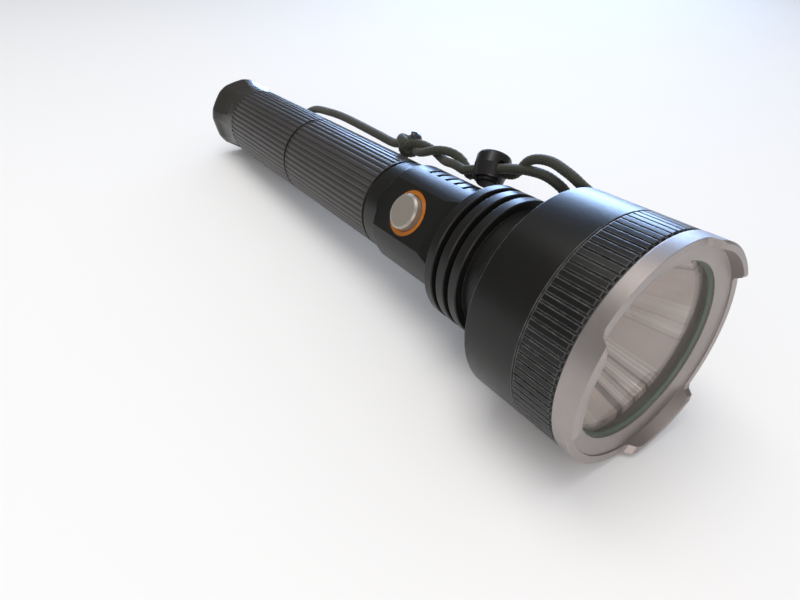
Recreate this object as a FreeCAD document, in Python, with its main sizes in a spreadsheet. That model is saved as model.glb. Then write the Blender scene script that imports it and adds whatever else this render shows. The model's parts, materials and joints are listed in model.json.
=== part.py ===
import FreeCAD, Part
import Sketcher
import math
import os

# A tactical flashlight with a crenellated bezel, a finned neck, a two-piece battery tube and a lanyard.
# Frame, in millimetres: the lamp's axis is X, the beam leaves along +X, +Z is up, and the origin is the
# centre of the tail cap's flat end face. "Clock" is an angle round the axis from +Z towards +Y, in degrees.

DOC = FreeCAD.newDocument("TacticalFlashlight")
SHEET = DOC.addObject("Spreadsheet::Sheet", "Sizes")

DRIVING_SIZES = {
    # stations along the axis, measured from the tail face
    "cap_front": 24.7,
    "mid_joint": 92.5,
    "neck_joint": 161.5,
    "flat_rear": 170.9,
    "button_station": 184.5,
    "flat_front": 198.0,
    "fin_rear": 208.1,
    "collar_rear": 230.0,
    "bell_rear": 232.0,
    "knurl_rear": 257.4,
    "bezel_seat": 270.0,
    # battery tube and screw joints
    "tube_radius": 17.9,
    "tube_bore": 13.6,
    "flute_count": 48,
    "flute_depth": 0.35,
    "flute_radius": 1.1,
    "thread_radius": 16.1,
    "thread_depth": 0.45,
    "thread_pitch": 1.25,
    "thread_count": 3,
    "spigot_length": 8.8,
    "running_clearance": 0.05,
    "seal_radius": 0.8,
    "seal_squeeze": 0.02,
    "edge_bevel": 0.6,
    "joint_groove": 0.7,
    # cells
    "cell_radius": 13.1,
    "cell_length": 65.0,
    "nub_radius": 4.0,
    "nub_height": 1.2,
    "cell_rear": 33.5,
    # tail cap
    "cap_end_radius": 19.6,
    "cap_waist_radius": 17.0,
    "facet_end_distance": 18.1,
    "facet_count": 8,
    "cap_clock": 122.5,
    "cap_cavity_radius": 12.4,
    "cap_floor": 14.0,
    "tunnel_station": 5.5,
    "tunnel_ring_radius": 6.0,
    "tunnel_bore": 2.2,
    "tunnel_turn_radius": 3.4,
    "board_thickness": 1.6,
    "board_radius": 12.2,
    "retainer_thickness": 3.0,
    "retainer_bore": 9.8,
    # neck housing
    "block_radius": 19.35,
    "flat_distance": 16.8,
    "flat_ramp": 3.0,
    "relief_distance": 14.7,
    "button_clock": -55.0,
    "fin_radius": 23.86,
    "fin_root_radius": 17.5,
    "fin_thickness": 3.6,
    "fin_pitch": 5.9,
    "neck_radius": 21.0,
    "collar_radius": 24.0,
    "neck_cavity_radius": 12.8,
    "pill_bore": 18.05,
    "bell_thread_radius": 22.0,
    "slot_first": 178.9,
    "slot_pitch": 4.45,
    "slot_count": 5,
    "slot_width": 1.6,
    "slot_depth": 1.2,
    "slot_clock": 64.0,
    "slot_half_length": 3.0,
    # switch
    "button_radius": 6.4,
    "button_top": 19.2,
    "button_bevel": 0.7,
    "button_underside": 15.5,
    "stem_radius": 5.5,
    "stem_foot": 12.9,
    "ring_radius": 8.4,
    "ring_bore": 6.5,
    "ring_seat": 14.6,
    "ring_top": 16.6,
    "tact_size": 6.0,
    "tact_top": 11.9,
    "tact_foot": 8.5,
    "switch_board_foot": 7.3,
    "holder_radius": 12.6,
    "holder_floor": 4.5,
    # driver
    "driver_radius": 14.0,
    "driver_seat": 178.0,
    "front_retainer_bore": 11.0,
    # head
    "bell_radius": 32.9,
    "bell_mouth_radius": 24.2,
    "bell_cone_front": 237.6,
    "bell_band_rear": 238.7,
    "bell_bore": 28.6,
    "knurl_count": 90,
    "knurl_depth": 0.55,
    "knurl_half_width": 0.38,
    "skirt_radius": 30.9,
    "skirt_bore": 29.2,
    "skirt_rear": 262.6,
    "bezel_radius": 33.0,
    "tooth_tip": 277.8,
    "valley_front": 274.9,
    "tooth_inner_radius": 30.9,
    "lip_radius": 26.2,
    "lip_front": 273.0,
    "lip_rear": 272.4,
    "lip_root": 274.3,
    "valley_half_angle": 35.0,
    "tooth_slope": 1.6,
    "tooth_count": 3,
    "tooth_clock": 38.6,
    "lens_radius": 29.0,
    "lens_front": 270.8,
    "lens_thickness": 3.0,
    "glow_bore": 25.6,
    "glow_radius": 28.8,
    # optics
    "parabola_vertex": 228.9,
    "parabola_focus": 4.2,
    "reflector_wall": 1.4,
    "reflector_rear": 230.3,
    "flange_thickness": 1.6,
    "star_rear": 227.2,
    "star_radius": 10.0,
    "emitter_size": 5.0,
    "emitter_dome": 2.3,
    "gasket_radius": 7.5,
    "pill_rear": 212.0,
    "pill_stub_radius": 12.7,
    "pill_bore_radius": 9.5,
    "lead_radius": 0.7,
    "lead_offset": 7.0,
    # lanyard and cord lock
    "cord_radius": 1.8,
    "twist_radius": 2.9,
    "knot_radius": 4.3,
    "lock_station": 191.5,
    "lock_distance": 26.3,
    "lock_clock": 40.9,
    "lock_lean": 20.0,
    "barrel_radius": 6.3,
    "barrel_foot_radius": 5.5,
    "barrel_foot": -3.6,
    "barrel_shoulder": 1.2,
    "barrel_top": 5.9,
    "barrel_bore": 4.35,
    "barrel_wall": 1.2,
    "lock_play": 0.05,
    "plunger_foot": -5.0,
    "plunger_head": 2.7,
    "window_half_width": 3.95,
    "window_half_height": 2.25,
    "window_offset": 0.35,
}


def fill_sheet():
    """Writes each driving size as a plain number with its alias."""
    for row, (alias, value) in enumerate(DRIVING_SIZES.items(), 1):
        SHEET.set(f"A{row}", alias.replace("_", " "))
        SHEET.set(f"B{row}", str(value))
        SHEET.setAlias(f"B{row}", alias)
    DOC.recompute()


class Size:
    """A number from the sheet, or worked out from others, kept with the expression that gives it."""

    def __init__(self, value, text):
        self.value = value
        self.text = text

    def __add__(self, other):
        other = as_size(other)
        return Size(self.value + other.value, f"({self.text} + {other.text})")

    def __sub__(self, other):
        other = as_size(other)
        return Size(self.value - other.value, f"({self.text} - {other.text})")

    def __mul__(self, other):
        other = as_size(other)
        return Size(self.value * other.value, f"({self.text} * {other.text})")

    def __truediv__(self, other):
        other = as_size(other)
        return Size(self.value / other.value, f"({self.text} / {other.text})")

    def __neg__(self):
        return Size(-self.value, f"(-1 * {self.text})")


def as_size(number):
    return number if isinstance(number, Size) else Size(float(number), repr(float(number)))


def size(alias):
    return Size(float(SHEET.get(alias)), f"Sizes.{alias}")


def root(number):
    return Size(math.sqrt(number.value), f"sqrt({number.text})")


def cosine(angle):
    return Size(math.cos(math.radians(angle.value)), f"cos({angle.text} * 1 deg)")


def sine(angle):
    return Size(math.sin(math.radians(angle.value)), f"sin({angle.text} * 1 deg)")


# ---- bodies, sketches and features ----

SUB_PARTS = []
ZERO = Size(0.0, "0")


def keep(part, label):
    part.Label = label
    SUB_PARTS.append(part)
    return part


def new_body(label):
    return keep(DOC.addObject("PartDesign::Body", label), label)


def place(part, station=ZERO, clock=0.0):
    """Sets a sub-part at its station on the lamp's axis, turned to its clock angle."""
    turn = FreeCAD.Rotation(FreeCAD.Vector(1, 0, 0), -clock)
    part.Placement = FreeCAD.Placement(FreeCAD.Vector(station.value, 0, 0), turn)
    part.setExpression("Placement.Base.x", station.text)


def sketch_on(body, name, role="XY_Plane", offset=ZERO):
    """A sketch on one of the body's own origin planes, moved along the plane's normal by offset."""
    sketch = body.newObject("Sketcher::SketchObject", name)
    plane = next(feature for feature in body.Origin.OriginFeatures if feature.Role == role)
    sketch.AttachmentSupport = [(plane, "")]
    sketch.MapMode = "FlatFace"
    if offset.value:
        sketch.setExpression("AttachmentOffset.Base.z", offset.text)
    return sketch


def hold(sketch, kind, line, distance):
    """Holds a line's first point at a distance from the sketch's origin, or on its axis if that is zero."""
    if abs(distance.value) < 1e-9:
        axis = -2 if kind == "DistanceX" else -1
        sketch.addConstraint(Sketcher.Constraint("PointOnObject", line, 1, axis))
        return
    index = sketch.addConstraint(Sketcher.Constraint(kind, -1, 1, line, 1, distance.value))
    sketch.setExpression(f"Constraints[{index}]", distance.text)


def outline(sketch, corners):
    """Closes a polyline through corners, each held by its two sizes."""
    corners = [(as_size(x), as_size(y)) for x, y in corners]
    points = [FreeCAD.Vector(x.value, y.value, 0) for x, y in corners]
    first = sketch.GeometryCount
    count = len(points)
    for i in range(count):
        sketch.addGeometry(Part.LineSegment(points[i], points[(i + 1) % count]), False)
    for i in range(count):
        following = first + (i + 1) % count
        sketch.addConstraint(Sketcher.Constraint("Coincident", first + i, 2, following, 1))
    for i, (x, y) in enumerate(corners):
        hold(sketch, "DistanceX", first + i, x)
        hold(sketch, "DistanceY", first + i, y)


def circle(sketch, x, y, radius):
    """A circle held by its centre and radius."""
    x, y, radius = as_size(x), as_size(y), as_size(radius)
    centre = FreeCAD.Vector(x.value, y.value, 0)
    line = sketch.addGeometry(Part.Circle(centre, FreeCAD.Vector(0, 0, 1), radius.value), False)
    for kind, distance in (("DistanceX", x), ("DistanceY", y)):
        if abs(distance.value) < 1e-9:
            axis = -2 if kind == "DistanceX" else -1
            sketch.addConstraint(Sketcher.Constraint("PointOnObject", line, 3, axis))
        else:
            index = sketch.addConstraint(Sketcher.Constraint(kind, -1, 1, line, 3, distance.value))
            sketch.setExpression(f"Constraints[{index}]", distance.text)
    index = sketch.addConstraint(Sketcher.Constraint("Radius", line, radius.value))
    sketch.setExpression(f"Constraints[{index}]", radius.text)


def turned(body, name, origin, corners, axis="H_Axis", kind="PartDesign::Revolution"):
    """Turns a closed outline about the body's X axis, or V_Axis. Its x sizes count from origin."""
    sketch = sketch_on(body, name + "_outline", "XY_Plane" if axis == "H_Axis" else "XZ_Plane")
    outline(sketch, [(as_size(x) - origin, y) for x, y in corners] if origin.value else corners)
    feature = body.newObject(kind, name)
    feature.Profile = sketch
    feature.ReferenceAxis = (sketch, [axis])
    feature.Angle = 360.0
    sketch.Visibility = False
    body.Tip = feature
    return feature


def grooved(body, name, origin, corners, axis="H_Axis"):
    """Turns a groove into the body, and makes sure that it has removed material."""
    return checked_cut(body, lambda: turned(body, name, origin, corners, axis, "PartDesign::Groove"))


def checked_cut(body, make):
    DOC.recompute()
    before = body.Shape.Volume
    feature = make()
    DOC.recompute()
    if not body.Shape.Volume < before - 1e-3:
        raise RuntimeError(f"{feature.Name} removes nothing")
    return feature


def pocket(body, name, sketch, depth, reverse=False, both_ways=False):
    """Cuts the sketch's outline into the body over depth."""
    def make():
        feature = body.newObject("PartDesign::Pocket", name)
        feature.Profile = sketch
        feature.Length = depth.value
        feature.setExpression("Length", depth.text)
        feature.Reversed = reverse
        feature.Midplane = both_ways
        sketch.Visibility = False
        body.Tip = feature
        return feature
    return checked_cut(body, make)


def pad(body, name, sketch, height, reverse=False, both_ways=False):
    """Extrudes the sketch's outline over height."""
    feature = body.newObject("PartDesign::Pad", name)
    feature.Profile = sketch
    feature.Length = height.value
    feature.setExpression("Length", height.text)
    feature.Reversed = reverse
    feature.Midplane = both_ways
    sketch.Visibility = False
    body.Tip = feature
    return feature


def around(body, name, feature, sketch, count):
    """Repeats a feature evenly round the body's X axis."""
    pattern = body.newObject("PartDesign::PolarPattern", name)
    pattern.Originals = [feature]
    pattern.Axis = (sketch, ["H_Axis" if sketch.Label.endswith("side") else "N_Axis"])
    pattern.Angle = 360.0
    pattern.Occurrences = int(count.value)
    pattern.setExpression("Occurrences", count.text)
    body.Tip = pattern
    return pattern


def ring_profile(rear, front, inner, outer):
    return [(rear, inner), (front, inner), (front, outer), (rear, outer)]


def thread_outline(start, crest, depth, side):
    """Corners of one thread's vee at a station, cut outwards (side 1) or inwards (side -1) from the crest."""
    half = size("thread_pitch") * 0.4
    reach = size("running_clearance") * 2
    lift = reach if side < 0 else -reach
    return [
        (start - half, crest + lift),
        (start + half, crest + lift),
        (start, crest + depth * side),
    ]


def threads(body, name, origin, first, crest, side):
    """A row of parallel vee rings that stand for a screw thread."""
    for i in range(int(size("thread_count").value)):
        station = first + size("thread_pitch") * i
        grooved(body, f"{name}_{i}", origin, thread_outline(station, crest, size("thread_depth"), side))


# ---- head ----

def make_bezel():
    """Strike bezel: threaded skirt, sloping dish round the lens and three broad teeth."""
    body = new_body("bezel")
    seat = size("skirt_rear")
    bevel = size("edge_bevel")
    corners = [
        (seat, size("skirt_bore")),
        (size("lip_rear"), size("skirt_bore")),
        (size("lip_rear"), size("lip_radius")),
        (size("lip_front"), size("lip_radius")),
        (size("lip_root"), size("tooth_inner_radius") - 0.3),
        (size("tooth_tip"), size("tooth_inner_radius")),
        (size("tooth_tip"), size("bezel_radius") - bevel),
        (size("tooth_tip") - bevel, size("bezel_radius")),
        (size("bezel_seat") + bevel, size("bezel_radius")),
        (size("bezel_seat"), size("bezel_radius") - bevel),
        (size("bezel_seat"), size("skirt_radius")),
        (seat, size("skirt_radius")),
    ]
    turned(body, "bezel_ring", seat, corners)
    first_thread = seat + size("thread_pitch")
    threads(body, "bezel_thread", seat, first_thread, size("skirt_radius"), -1)
    seal = size("bezel_seat") - 1.6
    floor = size("skirt_radius") - size("seal_radius") * 1.5
    half = size("seal_radius") + 0.15
    groove = ring_profile(seal - half, seal + half, floor, size("skirt_radius") + 0.2)
    grooved(body, "bezel_seal_groove", seat, groove)
    cut_valleys(body, seat)
    place(body, seat, size("tooth_clock").value)


def cut_valleys(body, seat):
    """Cuts the three valleys between the teeth; their sides slope up to the teeth in a soft S."""
    sketch = sketch_on(body, "valley_side", "XY_Plane", ZERO)
    floor, tip = size("valley_front") - seat, size("tooth_tip") - seat
    half = size("bezel_radius") * sine(size("valley_half_angle"))
    slope = size("tooth_slope")
    profile = [
        (floor, half - slope),
        (floor + 0.5, half - slope * 0.35),
        (tip - 0.6, half + slope * 0.35),
        (tip - 0.1, half + slope),
        (tip + 1.0, half + slope),
    ]
    outline(sketch, profile + [(x, -y) for x, y in reversed(profile)])
    cutter = pocket(body, "valley", sketch, size("bezel_radius") + 1.0)
    around(body, "valleys", cutter, sketch, size("tooth_count"))


def make_lens():
    body = new_body("lens")
    rear = size("lens_front") - size("lens_thickness")
    bevel = size("edge_bevel") * 0.5
    turned(body, "lens_disc", rear, [
        (rear, ZERO),
        (size("lens_front"), ZERO),
        (size("lens_front"), size("lens_radius") - bevel),
        (size("lens_front") - bevel, size("lens_radius")),
        (rear + bevel, size("lens_radius")),
        (rear, size("lens_radius") - bevel),
    ])
    place(body, rear)


def make_glow_ring():
    """Soft ring between the bezel's lip and the lens."""
    body = new_body("lens_seal")
    turned(body, "lens_seal_ring", size("lens_front"), [
        (size("lens_front"), size("glow_bore") + 0.2),
        (size("lens_front") + 0.8, size("glow_bore")),
        (size("lip_rear"), size("glow_bore") + 0.3),
        (size("lip_rear"), size("glow_radius")),
        (size("lens_front"), size("glow_radius")),
    ])
    place(body, size("lens_front"))


def seal_ring(label, station, groove_floor, land):
    """An O-ring in a groove: it clears the groove's floor and the bore that it seals by the seal squeeze."""
    section = (land - groove_floor) / 2 - size("seal_squeeze")
    ring = DOC.addObject("Part::Torus", label)
    keep(ring, label)
    middle = (land + groove_floor) / 2
    ring.setExpression("Radius1", middle.text)
    ring.setExpression("Radius2", section.text)
    turn = FreeCAD.Rotation(FreeCAD.Vector(0, 1, 0), 90)
    ring.Placement = FreeCAD.Placement(FreeCAD.Vector(station.value, 0, 0), turn)
    ring.setExpression("Placement.Base.x", station.text)


def make_bezel_seal():
    floor = size("skirt_radius") - size("seal_radius") * 1.5
    bore = size("skirt_radius") + size("running_clearance")
    seal_ring("bezel_seal", size("bezel_seat") - 1.6, floor, bore)


def make_reflector():
    """Smooth parabolic reflector with a rim flange; its inner curve is one exact parabola."""
    focus, vertex = size("parabola_focus"), size("parabola_vertex")
    rear, rim = size("reflector_rear"), size("lens_front") - size("lens_thickness")
    wall = size("reflector_wall")
    small = root(focus * 4 * (rear - vertex))
    large = root(focus * 4 * (rim - vertex))
    flange_rear = rim - size("flange_thickness")
    inner = parabola_curve(rear, small, rim, large, focus, vertex, ZERO)
    outer = parabola_curve(flange_rear, None, rear, None, focus, vertex, wall)
    points = [
        FreeCAD.Vector(rim.value, large.value, 0),
        FreeCAD.Vector(rim.value, size("lens_radius").value, 0),
        FreeCAD.Vector(flange_rear.value, size("lens_radius").value, 0),
        outer.StartPoint,
    ]
    edges = [inner.toShape(), Part.makePolygon(points), outer.toShape()]
    edges.append(Part.makeLine(outer.EndPoint, inner.StartPoint))
    face = Part.Face(Part.Wire(Part.__sortEdges__([edge for shape in edges for edge in shape.Edges])))
    solid = face.revolve(FreeCAD.Vector(0, 0, 0), FreeCAD.Vector(1, 0, 0), 360)
    reflector = keep(DOC.addObject("Part::Feature", "reflector"), "reflector")
    reflector.Shape = solid


def parabola_curve(start, start_radius, end, end_radius, focus, vertex, offset):
    """A stretch of the parabola as a quadratic curve, moved outwards by offset."""
    ends = []
    for station in (start.value, end.value):
        radius = math.sqrt(4 * focus.value * (station - vertex.value))
        ends.append((station, radius, 2 * focus.value / radius))
    (x0, r0, slope0), (x1, r1, slope1) = ends
    meet = (r1 - r0 + slope0 * x0 - slope1 * x1) / (slope0 - slope1)
    poles = [(x0, r0), (meet, r0 + slope0 * (meet - x0)), (x1, r1)]
    curve = Part.BSplineCurve()
    poles = [FreeCAD.Vector(x, radius + offset.value, 0) for x, radius in poles]
    curve.buildFromPolesMultsKnots(poles, [3, 3], [0, 1], False, 2)
    return curve


def make_bell():
    """Head bell: rear cone, smooth band and knurled grip band, threaded at both ends."""
    body = new_body("head_bell")
    rear = size("bell_rear")
    play = size("running_clearance")
    thread = size("bell_thread_radius") + play
    radius, bevel = size("bell_radius"), size("edge_bevel")
    seat, bore = size("bezel_seat"), size("bell_bore")
    skirt = size("skirt_radius") + play
    turned(body, "bell_shell", rear, [
        (rear, thread),
        (rear + 12, thread),
        (rear + 18, bore),
        (size("skirt_rear") - 0.8, bore),
        (size("skirt_rear") - 0.8, skirt),
        (seat, skirt),
        (seat, radius - bevel),
        (seat - bevel, radius),
        (size("knurl_rear"), radius),
        (size("knurl_rear") - 0.3, radius - 0.5),
        (size("knurl_rear") - 0.6, radius),
        (size("bell_band_rear"), radius),
        (size("bell_cone_front"), radius - 1.2),
        (rear + bevel, size("bell_mouth_radius")),
        (rear, size("bell_mouth_radius") - bevel),
    ])
    threads(body, "bell_rear_thread", rear, rear + 3, thread, 1)
    first = size("skirt_rear") + size("thread_pitch")
    threads(body, "bell_front_thread", rear, first, skirt, 1)
    cut_knurl(body, rear)
    place(body, rear)


def cut_knurl(body, rear):
    """Straight grooves along the grip band."""
    sketch = sketch_on(body, "knurl_outline", "YZ_Plane", size("knurl_rear") - rear)
    radius, half, depth = size("bell_radius"), size("knurl_half_width"), size("knurl_depth")
    outline(sketch, [
        (-half, radius + 0.5),
        (-(half * 0.6), radius - depth),
        (half * 0.6, radius - depth),
        (half, radius + 0.5),
    ])
    length = size("bezel_seat") - size("knurl_rear") + 1.0
    cutter = pocket(body, "knurl_groove", sketch, length, reverse=True)
    around(body, "knurl", cutter, sketch, size("knurl_count"))


# ---- light engine ----

def make_pill():
    """Heat sink: a flange under the LED board and a hollow stub towards the driver."""
    body = new_body("heat_sink_pill")
    rear, star = size("pill_rear"), size("star_rear")
    step = star - 2.6
    turned(body, "pill_turning", rear, [
        (rear, size("pill_bore_radius")),
        (rear + 8, size("pill_bore_radius")),
        (rear + 8, ZERO),
        (star, ZERO),
        (star, size("pill_bore") - 0.05),
        (step, size("pill_bore") - 0.05),
        (step, size("pill_stub_radius")),
        (rear, size("pill_stub_radius")),
    ])
    sketch = sketch_on(body, "lead_hole_outline", "YZ_Plane", ZERO)
    for side in (1, -1):
        circle(sketch, size("lead_offset") * side, 0, size("lead_radius") + 0.4)
    pocket(body, "lead_holes", sketch, star - rear + 1.0, reverse=True)
    place(body, rear, size("button_clock").value)


def make_star():
    """Metal-core LED board with two notches for its leads."""
    body = new_body("led_board")
    rear = size("star_rear")
    sketch = sketch_on(body, "star_outline", "YZ_Plane", ZERO)
    circle(sketch, 0, 0, size("star_radius"))
    pad(body, "star_plate", sketch, size("board_thickness"))
    notches = sketch_on(body, "notch_outline", "YZ_Plane", ZERO)
    for side in (1, -1):
        circle(notches, size("lead_offset") * side, 0, size("lead_radius") + 0.6)
    pocket(body, "notches", notches, size("board_thickness") + 1.0, reverse=True)
    place(body, rear, size("button_clock").value)


def make_emitter():
    """Square LED package with a clear dome."""
    body = new_body("led_emitter")
    rear = size("star_rear") + size("board_thickness")
    sketch = sketch_on(body, "package_outline", "YZ_Plane", ZERO)
    half = size("emitter_size") / 2
    outline(sketch, [(-half, -half), (half, -half), (half, half), (-half, half)])
    pad(body, "package", sketch, Size(0.9, "0.9"))
    dome = size("emitter_dome")
    turned(body, "dome", ZERO, [
        (Size(0.5, "0.5"), ZERO),
        (Size(0.5, "0.5"), dome),
        (Size(1.3, "1.3"), dome),
        (Size(2.1, "2.1"), dome * 0.75),
        (Size(2.6, "2.6"), dome * 0.3),
        (Size(2.7, "2.7"), ZERO),
    ])
    place(body, rear)


def make_led_gasket():
    """White centring ring between the LED board and the reflector."""
    body = new_body("led_gasket")
    rear = size("star_rear") + size("board_thickness")
    sketch = sketch_on(body, "gasket_outline", "YZ_Plane", ZERO)
    circle(sketch, 0, 0, size("gasket_radius") - 1.0)
    pad(body, "gasket_ring", sketch, size("reflector_rear") - rear)
    window = sketch_on(body, "window_outline", "YZ_Plane", ZERO)
    half = size("emitter_size") / 2 + 0.1
    outline(window, [(-half, -half), (half, -half), (half, half), (-half, half)])
    pocket(body, "window", window, size("reflector_rear") - rear + 1.0, reverse=True)
    place(body, rear)


def make_leads():
    """The two wires from the driver to the LED board, as one group of separate solids."""
    rear = size("driver_seat")
    length = size("star_rear") + size("board_thickness") - rear
    wires = []
    for side in (90.0, -90.0):
        wire = DOC.addObject("Part::Cylinder", "led_lead")
        wire.setExpression("Radius", size("lead_radius").text)
        wire.setExpression("Height", length.text)
        centre = lamp_point(rear.value, size("lead_offset").value, size("button_clock").value + side)
        wire.Placement = FreeCAD.Placement(centre, FreeCAD.Rotation(FreeCAD.Vector(0, 1, 0), 90))
        wires.append(wire)
    group = keep(DOC.addObject("Part::Compound", "led_leads"), "led_leads")
    group.Links = wires


def make_driver():
    """Round driver board with its inductor and chips on the side towards the head."""
    body = new_body("driver_board")
    seat, thickness = size("driver_seat"), size("board_thickness")
    sketch = sketch_on(body, "driver_outline", "YZ_Plane", ZERO)
    circle(sketch, 0, 0, size("driver_radius"))
    pad(body, "driver_plate", sketch, thickness)
    inductor = sketch_on(body, "inductor_outline", "YZ_Plane", thickness)
    circle(inductor, 0, -7, 3.4)
    pad(body, "inductor", inductor, Size(5.0, "5"))
    chips = sketch_on(body, "chip_outline", "YZ_Plane", thickness)
    for y in (-9.0, 5.0):
        outline(chips, [(y, -4.0), (y + 4.0, -4.0), (y + 4.0, -1.2), (y, -1.2)])
    pad(body, "chips", chips, Size(1.2, "1.2"))
    place(body, seat - thickness, size("button_clock").value)


def retaining_ring(label, rear, outer, bore, clock=0.0):
    """A threaded ring with two spanner notches."""
    body = new_body(label)
    front = rear + size("retainer_thickness")
    bevel = size("edge_bevel") * 0.5
    turned(body, label + "_turning", rear, [
        (rear, bore),
        (front, bore),
        (front, outer - bevel),
        (front - bevel, outer),
        (rear + bevel, outer),
        (rear, outer - bevel),
    ])
    half = Size(1.0, "1.0")
    sketch = sketch_on(body, label + "_notch_outline", "YZ_Plane", ZERO)
    reach = outer + 1.0
    outline(sketch, [(-half, -reach), (half, -reach), (half, reach), (-half, reach)])
    pocket(body, label + "_notches", sketch, Size(1.2, "1.2"), reverse=True)
    place(body, rear, clock)
    return body


def coil(label, length, base_radius, wire, turns, cone):
    """A coil spring wound up its own Z axis, narrowing by the cone angle."""
    helix = DOC.addObject("Part::Helix", label + "_path")
    helix.setExpression("Pitch", (length / turns).text)
    helix.setExpression("Height", length.text)
    helix.setExpression("Radius", base_radius.text)
    helix.Angle = -cone
    helix.SegmentLength = 1.0  # one face a turn, so that the mesh of each turn closes on the next
    section = DOC.addObject("Part::Circle", label + "_section")
    section.setExpression("Radius", wire.text)
    turn = FreeCAD.Rotation(FreeCAD.Vector(1, 0, 0), 90)
    section.Placement = FreeCAD.Placement(FreeCAD.Vector(base_radius.value, 0, 0), turn)
    spring = keep(DOC.addObject("Part::Sweep", label), label)
    spring.Sections = [section]
    spring.Spine = (helix, [])
    spring.Solid = True
    spring.Frenet = True
    return spring


def contact_spring(label, base, length, base_radius, wire, turns, cone, heading):
    """A conical spring wound along the lamp's axis from its board, forward (1) or to the tail (-1)."""
    spring = coil(label, length, base_radius, wire, turns, cone)
    turn = FreeCAD.Rotation(FreeCAD.Vector(0, 1, 0), 90 * heading)
    spring.Placement = FreeCAD.Placement(FreeCAD.Vector(base.value, 0, 0), turn)


def make_front_contact():
    """Driver retaining ring and the spring that meets the front cell."""
    rear_of_board = size("driver_seat") - size("board_thickness")
    retaining_ring(
        "driver_retainer",
        rear_of_board - size("retainer_thickness"),
        size("driver_radius"),
        size("front_retainer_bore"),
    )
    wire = Size(0.45, "0.45")
    cell_front = size("cell_rear") + (size("cell_length") + size("nub_height")) * 2
    length = rear_of_board - cell_front - wire * 2 - 0.3
    base = rear_of_board - wire - 0.1
    contact_spring("driver_spring", base, length, Size(5.2, "5.2"), wire, 4, 14.0, -1)


# ---- neck ----

def make_neck():
    """Neck housing: rear socket, button block with its flat, cooling fins and the spigot for the bell."""
    body = new_body("neck_housing")
    rear = size("neck_joint")
    turned(body, "neck_turning", rear, neck_profile(rear))
    threads(body, "neck_thread", rear, rear + 4, size("thread_radius") + size("running_clearance"), 1)
    threads(body, "spigot_thread", rear, size("bell_rear") + 3, size("bell_thread_radius"), -1)
    seal = size("bell_rear") + 9
    floor = size("bell_thread_radius") - size("seal_radius") * 1.5
    half = size("seal_radius") + 0.15
    top = size("bell_thread_radius") + 0.2
    grooved(body, "head_seal_groove", rear, ring_profile(seal - half, seal + half, floor, top))
    cut_button_flat(body, rear)
    cut_button_seat(body, rear)
    cut_cooling_slots(body, rear)
    place(body, rear, size("button_clock").value)


def neck_profile(rear):
    """The neck's turned section, cavity first and then the outside from front to rear."""
    play = size("running_clearance")
    groove, bevel = size("joint_groove"), size("edge_bevel")
    block, fin, foot = size("block_radius"), size("fin_radius"), size("fin_root_radius")
    socket = size("thread_radius") + play
    pocket_radius = size("driver_radius") + 0.1
    spigot_front = size("bell_rear") + 11.5
    corners = [
        (rear, socket),
        (size("flat_rear") - 0.2, socket),
        (size("flat_rear") - 0.2, pocket_radius),
        (size("driver_seat"), pocket_radius),
        (size("driver_seat"), size("neck_cavity_radius")),
        (size("star_rear") - 2.6, size("neck_cavity_radius")),
        (size("star_rear") - 2.6, size("pill_bore")),
        (spigot_front, size("pill_bore")),
        (spigot_front, size("bell_thread_radius") - bevel),
        (spigot_front - bevel, size("bell_thread_radius")),
        (size("bell_rear"), size("bell_thread_radius")),
        (size("bell_rear"), size("collar_radius") - bevel),
        (size("bell_rear") - bevel, size("collar_radius")),
        (size("collar_rear") + bevel, size("collar_radius")),
        (size("collar_rear"), size("collar_radius") - bevel),
        (size("collar_rear"), size("neck_radius")),
    ]
    fin_bevel = bevel * 0.5
    for i in (2, 1, 0):
        fin_rear = size("fin_rear") + size("fin_pitch") * i
        fin_front = fin_rear + size("fin_thickness")
        front_foot = size("neck_radius") if i == 2 else foot
        corners += [
            (fin_front, front_foot),
            (fin_front, fin - fin_bevel),
            (fin_front - fin_bevel, fin),
            (fin_rear + fin_bevel, fin),
            (fin_rear, fin - fin_bevel),
        ]
        corners.append((fin_rear, foot if i else block))
    corners += [
        (size("flat_rear") + 0.2, block),
        (size("flat_rear") - 0.9, size("tube_radius") + 0.1),
        (rear + groove, size("tube_radius")),
        (rear, size("tube_radius") - groove),
    ]
    return corners


def cut_button_flat(body, rear):
    """The flat round the button and the relief that falls away from it to the first fin."""
    sketch = sketch_on(body, "flat_side", "XZ_Plane", ZERO)
    top = size("block_radius") + 2.0
    outline(sketch, [
        (size("flat_rear") - size("flat_ramp") - rear, top),
        (size("flat_rear") - size("flat_ramp") - rear, size("tube_radius") + 0.4),
        (size("flat_rear") + 0.3 - rear, size("flat_distance")),
        (size("flat_front") - rear, size("flat_distance")),
        (size("fin_rear") - rear, size("relief_distance")),
        (size("fin_rear") - rear, top),
    ])
    pocket(body, "button_flat", sketch, size("block_radius") * 2, both_ways=True)


def cut_button_seat(body, rear):
    """Counterbore for the light ring and the hole for the button's stem."""
    seat = sketch_on(body, "ring_seat_outline", "XY_Plane", size("ring_seat"))
    circle(seat, size("button_station") - rear, 0, size("ring_radius") + 0.05)
    pocket(body, "ring_seat", seat, Size(4.0, "4"), reverse=True)
    hole = sketch_on(body, "stem_hole_outline", "XY_Plane", size("ring_seat") + 0.5)
    circle(hole, size("button_station") - rear, 0, size("stem_radius") + 0.1)
    pocket(body, "stem_hole", hole, Size(9.0, "9"))


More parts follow.
